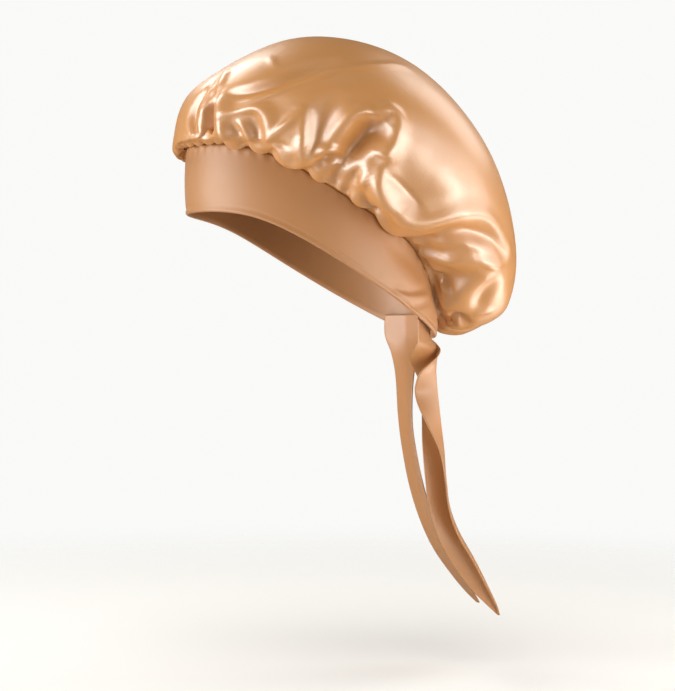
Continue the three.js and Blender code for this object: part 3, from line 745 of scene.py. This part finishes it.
def add_sheet(name, columns, rows, place):
    """Adds a grid and moves its points to place(across, along), both from 0 to 1, in metres."""
    deselect_all()
    bpy.ops.mesh.primitive_grid_add(x_subdivisions=columns, y_subdivisions=rows, size=1)
    sheet = bpy.context.active_object
    sheet.name = sheet.data.name = name
    flat = np.empty(len(sheet.data.vertices) * 3)
    sheet.data.vertices.foreach_get("co", flat)
    flat = flat.reshape(-1, 3)
    column = np.rint((flat[:, 0] + 0.5) * columns).astype(int)
    row = np.rint((flat[:, 1] + 0.5) * rows).astype(int)
    points = place(np.linspace(0, 1, columns + 1), np.linspace(0, 1, rows + 1))
    sheet.data.vertices.foreach_set("co", points[row, column].ravel())
    sheet.data.update()
    return sheet


def turn_faces_out(merge_gap=0):
    """Merges the points that lie within the gap, if any, and turns the faces of the active piece out."""
    bpy.ops.object.mode_set(mode="EDIT")
    bpy.ops.mesh.select_all(action="SELECT")
    if merge_gap:
        bpy.ops.mesh.remove_doubles(threshold=merge_gap * MM)
    bpy.ops.mesh.normals_make_consistent(inside=False)
    bpy.ops.object.mode_set(mode="OBJECT")


def apply_modifier(piece, kind, **settings):
    modifier = piece.modifiers.new(kind.title(), kind)
    for key, value in settings.items():
        setattr(modifier, key, value)
    bpy.ops.object.modifier_apply(modifier=modifier.name)


def finish_cloth(piece, node, material):
    """Smooth shading, material, body and node of a finished piece."""
    bpy.ops.object.shade_smooth()
    piece.data.materials.clear()
    piece.data.materials.append(material)
    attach(piece, "root")
    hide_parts(node)


class Wire:
    """A socket of a material. Python's operators on it add Math nodes."""

    def __init__(self, finish, socket):
        self.finish = finish
        self.socket = socket

    def _math(self, operation, first, second):
        return self.finish.node("ShaderNodeMath", {"operation": operation}, {0: first, 1: second})

    def __add__(self, other):
        return self._math("ADD", self, other)

    def __radd__(self, other):
        return self._math("ADD", other, self)

    def __mul__(self, other):
        return self._math("MULTIPLY", self, other)

    def __rmul__(self, other):
        return self._math("MULTIPLY", other, self)


class Finish:
    """The nodes of one material."""

    def __init__(self, name):
        self.material = bpy.data.materials.new(name)
        self.material.use_nodes = True
        self.tree = self.material.node_tree
        self.tree.nodes.clear()

    def node(self, kind, settings=None, inputs=None, output=0):
        """Adds a node, sets it up, fills or links its sockets, and returns one of its outputs."""
        node = self.tree.nodes.new(kind)
        for key, value in (settings or {}).items():
            setattr(node, key, value)
        for key, value in (inputs or {}).items():
            if isinstance(value, Wire):
                self.tree.links.new(value.socket, node.inputs[key])
            else:
                node.inputs[key].default_value = value
        return Wire(self, node.outputs[output]) if node.outputs else None

    def object_place(self):
        return self.node("ShaderNodeTexCoord", output="Object")

    def noise(self, place, scale, detail=3.0, roughness=0.5):
        return self.node(
            "ShaderNodeTexNoise",
            None,
            {"Vector": place, "Scale": scale, "Detail": detail, "Roughness": roughness},
        )

    def blend(self, share, first, second):
        """A colour between two others. The Mix node's colour sockets are told apart by number alone."""
        return self.node(
            "ShaderNodeMix",
            {"data_type": "RGBA", "blend_type": "MIX"},
            {0: share, 6: first, 7: second},
            output=2,
        )

    def surface(self, inputs):
        shader = self.node("ShaderNodeBsdfPrincipled", None, inputs)
        self.node("ShaderNodeOutputMaterial", None, {"Surface": shader})
        return self.material


def four(color):
    return (*color, 1.0)


def satin_finish(settings):
    """Glossy satin: pale soft highlights on a deep gold ground, with a fine grain and long soft ripples."""
    finish = Finish("satin")
    place = finish.object_place()
    hung = finish.node("ShaderNodeMapping", None, {"Vector": place, "Scale": (1.0, 1.0, 0.4)})
    clouds = finish.noise(place, scale=9.0, detail=2.0)
    ripple = finish.noise(hung, scale=34.0, detail=2.0)
    crinkle = finish.noise(place, scale=75.0)
    grain = finish.noise(place, scale=750.0, detail=2.0, roughness=0.6)
    weave = finish.noise(place, scale=2200.0, detail=1.0)
    share = clouds * 0.7 + grain * 0.3
    color = finish.blend(share, four(settings.satin_shade), four(settings.satin_color))
    height = ripple * 0.8 + crinkle * 0.45 + grain * 0.3 + weave * 0.08
    bump = finish.node("ShaderNodeBump", None, {"Strength": 0.2, "Distance": 0.0015, "Height": height})
    return finish.surface({
        "Base Color": color,
        "Roughness": 0.36 + grain * 0.16,
        "IOR": 1.8,
        "Specular IOR Level": 1.0,
        "Normal": bump,
        "Coat Weight": 0.4,
        "Coat Roughness": 0.27,
        "Coat IOR": 1.8,
    })


def plain_cloth_finish(name, color, shade, gloss):
    """Smooth cloth with a fine thread."""
    finish = Finish(name)
    place = finish.object_place()
    clouds = finish.noise(place, scale=14.0, detail=2.0)
    thread = finish.noise(place, scale=2200.0, detail=1.0)
    soft = finish.noise(place, scale=90.0)
    tone = finish.blend(clouds, four(shade), four(color))
    height = thread * 0.35 + soft * 0.6
    bump = finish.node("ShaderNodeBump", None, {"Strength": 0.15, "Distance": 0.001, "Height": height})
    return finish.surface({
        "Base Color": tone,
        "Roughness": 0.5 + soft * 0.12,
        "Normal": bump,
        "Sheen Weight": 0.2,
        "Sheen Roughness": 0.35,
        "Sheen Tint": (1.0, 0.9, 0.8, 1.0),
        "Coat Weight": gloss,
        "Coat Roughness": 0.42,
    })


class BonnetCrownSettings(bpy.types.PropertyGroup):
    columns: bpy.props.IntProperty(
        name="Columns", description="Steps of the crown's cloth round the head", default=352, min=32
    )
    rows: bpy.props.IntProperty(
        name="Rows", description="Steps of the crown's cloth from its seam to its top", default=130, min=16
    )
    wall: bpy.props.FloatProperty(
        name="Wall", description="Thickness of the satin", default=0.0008, unit="LENGTH"
    )
    fold_strength: bpy.props.FloatProperty(
        name="Fold strength", description="How deep the main folds are", default=1.0, subtype="FACTOR"
    )
    row_bias: bpy.props.FloatProperty(
        name="Row bias", description="Over 1, the cloth's rows lie closer near the seam", default=1.2
    )
    gather_depth: bpy.props.FloatProperty(
        name="Gather depth", description="Depth of the furrows at the seam", default=0.0055, unit="LENGTH"
    )
    gather_reach: bpy.props.FloatProperty(
        name="Gather reach", description="How far the puffs reach up, as a share of the cloth", default=0.085
    )
    gather_hang: bpy.props.FloatProperty(
        name="Gather hang", description="How far the puffs hang down, as a share of their depth", default=0.6
    )
    flat_diameter: bpy.props.FloatProperty(
        name="Cut diameter", description="Diameter of the round cut of cloth", default=0.46, unit="LENGTH"
    )
    satin_color: bpy.props.FloatVectorProperty(
        name="Satin", description="Main colour of the satin", default=(0.56, 0.245, 0.06), subtype="COLOR"
    )
    satin_shade: bpy.props.FloatVectorProperty(
        name="Shade", description="Deeper tone of the satin", default=(0.5, 0.21, 0.045), subtype="COLOR"
    )


class BonnetBandSettings(bpy.types.PropertyGroup):
    columns: bpy.props.IntProperty(
        name="Columns", description="Steps of the band round the head", default=300, min=32
    )
    hem: bpy.props.FloatProperty(
        name="Hem", description="Height of the hem line over the lower edge", default=0.0042, unit="LENGTH"
    )
    color: bpy.props.FloatVectorProperty(
        name="Colour", description="Main colour of the band", default=(0.41, 0.187, 0.066), subtype="COLOR"
    )
    shade: bpy.props.FloatVectorProperty(
        name="Shade", description="Deeper tone of the band", default=(0.365, 0.158, 0.05), subtype="COLOR"
    )


class BonnetTieSettings(bpy.types.PropertyGroup):
    thickness: bpy.props.FloatProperty(
        name="Thickness", description="Thickness of a tie", default=0.0011, unit="LENGTH"
    )
    color: bpy.props.FloatVectorProperty(
        name="Colour", description="Main colour of the ties", default=(0.46, 0.205, 0.066), subtype="COLOR"
    )
    shade: bpy.props.FloatVectorProperty(
        name="Shade", description="Deeper tone of the ties", default=(0.4, 0.168, 0.048), subtype="COLOR"
    )


class BonnetStageSettings(bpy.types.PropertyGroup):
    camera_turn: bpy.props.FloatProperty(
        name="Camera turn",
        description="Turn of the view round the head",
        default=math.radians(VIEW_TURN),
        subtype="ANGLE",
    )
    camera_distance: bpy.props.FloatProperty(
        name="Camera distance",
        description="From the head opening to the lens",
        default=VIEW_DISTANCE * MM,
        unit="LENGTH",
    )
    camera_side: bpy.props.FloatProperty(
        name="Camera side",
        description="Sideways shift of the camera",
        default=VIEW_SIDE * MM,
        unit="LENGTH",
    )
    camera_height: bpy.props.FloatProperty(
        name="Camera height",
        description="Height of the lens over the origin",
        default=VIEW_HEIGHT * MM,
        unit="LENGTH",
    )
    lens: bpy.props.FloatProperty(
        name="Lens", description="Focal length in millimetres", default=VIEW_LENS
    )
    floor_drop: bpy.props.FloatProperty(
        name="Floor drop", description="From the tie tips down to the floor", default=0.04, unit="LENGTH"
    )
    ambient: bpy.props.FloatProperty(
        name="Ambient", description="Light from all round", default=0.07, subtype="FACTOR"
    )
    light_center: bpy.props.FloatProperty(
        name="Light centre", description="Height that the softboxes point at", default=0.04, unit="LENGTH"
    )
    backdrop_color: bpy.props.FloatVectorProperty(
        name="Backdrop",
        description="Colour behind the object",
        default=(0.955, 0.955, 0.94),
        subtype="COLOR",
    )
    floor_color: bpy.props.FloatVectorProperty(
        name="Floor", description="Colour of the floor", default=(0.83, 0.83, 0.815), subtype="COLOR"
    )


class BonnetSettings(bpy.types.PropertyGroup):
    crown: bpy.props.PointerProperty(type=BonnetCrownSettings)
    band: bpy.props.PointerProperty(type=BonnetBandSettings)
    ties: bpy.props.PointerProperty(type=BonnetTieSettings)
    stage: bpy.props.PointerProperty(type=BonnetStageSettings)


class BONNET_OT_crown(bpy.types.Operator):
    """Sew the gathered satin crown"""

    bl_idname = "bonnet.crown"
    bl_label = "Crown"

    def execute(self, context):
        settings = context.scene.bonnet.crown
        crown = add_sheet("crown_cloth", settings.columns, settings.rows, crown_place(settings))
        turn_faces_out(MERGE_GAP)
        apply_modifier(crown, "SOLIDIFY", thickness=settings.wall, offset=-1.0)
        finish_cloth(crown, "crown", satin_finish(settings))
        math.pi / 4 * settings.flat_diameter**2
        return {"FINISHED"}


class BONNET_OT_band(bpy.types.Operator):
    """Sew the plain band with its hem"""

    bl_idname = "bonnet.band"
    bl_label = "Band"

    def execute(self, context):
        settings = context.scene.bonnet.band
        rows = BAND_OUTSIDE_STEPS + BAND_INSIDE_STEPS + 2 * BAND_EDGE_STEPS
        band = add_sheet("band_cloth", settings.columns, rows, band_place(settings))
        turn_faces_out(MERGE_GAP)
        material = plain_cloth_finish("band_cloth", settings.color, settings.shade, BAND_GLOSS)
        finish_cloth(band, "band", material)
        return {"FINISHED"}


class BONNET_OT_ties(bpy.types.Operator):
    """Fold the two ties and hang them from the band"""

    bl_idname = "bonnet.ties"
    bl_label = "Ties"

    def execute(self, context):
        settings = context.scene.bonnet.ties
        material = plain_cloth_finish("tie_cloth", settings.color, settings.shade, TIE_GLOSS)
        for node, table in (("tie_left", LEFT_TIE), ("tie_right", RIGHT_TIE)):
            tie = add_sheet(node + "_cloth", TIE_COLUMNS, TIE_ROWS, tie_place(table))
            apply_modifier(tie, "SOLIDIFY", thickness=settings.thickness, offset=0.0)
            turn_faces_out()
            finish_cloth(tie, node, material)
        return {"FINISHED"}


class BONNET_OT_stage(bpy.types.Operator):
    """Lay the floor, hang the soft lights and set the camera"""

    bl_idname = "bonnet.stage"
    bl_label = "Stage"

    def execute(self, context):
        settings = context.scene.bonnet.stage
        self.add_camera(context, settings)
        self.add_floor(settings)
        self.add_lights(settings)
        self.add_world(context, settings)
        context.scene.view_settings.view_transform = "Standard"
        return {"FINISHED"}

    def add_camera(self, context, settings):
        deselect_all()
        turn = settings.camera_turn
        side, back = settings.camera_side, settings.camera_distance
        place = (
            math.sin(turn) * back + math.cos(turn) * side,
            -math.cos(turn) * back + math.sin(turn) * side,
            settings.camera_height,
        )
        bpy.ops.object.camera_add(location=place, rotation=(math.pi / 2, 0, turn))
        camera = bpy.context.active_object
        camera.data.lens = settings.lens
        camera.data.sensor_width = VIEW_SENSOR
        camera.data.clip_end = CAMERA_CLIP_END
        context.scene.camera = camera

    def add_floor(self, settings):
        deselect_all()
        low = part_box("tie_left")[0][2] - settings.floor_drop
        bpy.ops.mesh.primitive_circle_add(
            vertices=FLOOR_SIDES, radius=FLOOR_RADIUS, fill_type="NGON", location=(0, 0, low)
        )
        floor = bpy.context.active_object
        floor.name = "floor"
        finish = Finish("floor")
        place = finish.object_place()
        reach = finish.node("ShaderNodeVectorMath", {"operation": "LENGTH"}, {0: place}, output="Value")
        edge = finish.node(
            "ShaderNodeMapRange",
            {"interpolation_type": "SMOOTHSTEP"},
            {"Value": reach, "From Min": FLOOR_RADIUS, "From Max": FLOOR_RADIUS * FLOOR_FADE_START},
        )
        mottle = finish.noise(place, scale=3.0, detail=2.0)
        floor.data.materials.append(finish.surface({
            "Base Color": four(settings.floor_color),
            "Roughness": 0.75 + mottle * 0.1,
            "Emission Color": four(settings.floor_color),
            "Emission Strength": FLOOR_GLOW,
            "Alpha": edge,
        }))
        floor.visible_glossy = False

    def add_lights(self, settings):
        for box in SOFTBOXES:
            deselect_all()
            around = settings.camera_turn - math.pi / 2 + math.radians(box.across)
            lift = math.radians(box.lift)
            place = (
                math.cos(around) * math.cos(lift) * box.reach,
                math.sin(around) * math.cos(lift) * box.reach,
                settings.light_center + math.sin(lift) * box.reach,
            )
            tilt = (math.pi / 2 - lift, 0, around + math.pi / 2)
            bpy.ops.object.light_add(type="AREA", location=place, rotation=tilt)
            light = bpy.context.active_object
            light.name = box.name
            light.data.shape = "RECTANGLE"
            light.data.size = box.width
            light.data.size_y = box.height
            light.data.spread = math.radians(box.spread)
            light.data.energy = box.power
            light.data.color = (1, 1 - WARM_GREEN_LOSS * box.warmth, 1 - WARM_BLUE_LOSS * box.warmth)
            light.visible_glossy = box.in_gloss
            light.visible_camera = False

    def add_world(self, context, settings):
        """White behind the object, and dimmer as a light, so that the softboxes model the folds."""
        world = bpy.data.worlds.new("studio")
        context.scene.world = world
        world.use_nodes = True
        tree = world.node_tree
        background = tree.nodes["Background"]
        background.inputs["Color"].default_value = four(settings.backdrop_color)
        path = tree.nodes.new("ShaderNodeLightPath")
        strength = tree.nodes.new("ShaderNodeMapRange")
        strength.inputs["To Min"].default_value = settings.ambient
        strength.inputs["To Max"].default_value = 1.0
        tree.links.new(path.outputs["Is Camera Ray"], strength.inputs["Value"])
        tree.links.new(strength.outputs["Result"], background.inputs["Strength"])


class BONNET_PT_panel(bpy.types.Panel):
    bl_label = "Satin sleep bonnet"
    bl_idname = "BONNET_PT_panel"
    bl_space_type = "VIEW_3D"
    bl_region_type = "UI"
    bl_category = "Bonnet"

    def draw(self, context):
        settings = context.scene.bonnet
        for name in ("crown", "band", "ties", "stage"):
            group = getattr(settings, name)
            box = self.layout.box()
            box.operator("bonnet." + name)
            for key in group.__annotations__:
                box.prop(group, key)


CLASSES = (
    BonnetCrownSettings,
    BonnetBandSettings,
    BonnetTieSettings,
    BonnetStageSettings,
    BonnetSettings,
    BONNET_OT_crown,
    BONNET_OT_band,
    BONNET_OT_ties,
    BONNET_OT_stage,
    BONNET_PT_panel,
)


def register():
    for cls in CLASSES:
        bpy.utils.register_class(cls)
    bpy.types.Scene.bonnet = bpy.props.PointerProperty(type=BonnetSettings)


def unregister():
    del bpy.types.Scene.bonnet
    for cls in reversed(CLASSES):
        bpy.utils.unregister_class(cls)


def main():
    register()
    bpy.ops.bonnet.stage()
    bpy.ops.bonnet.crown()
    bpy.ops.bonnet.band()
    bpy.ops.bonnet.ties()


if __name__ == "__main__":
    main()
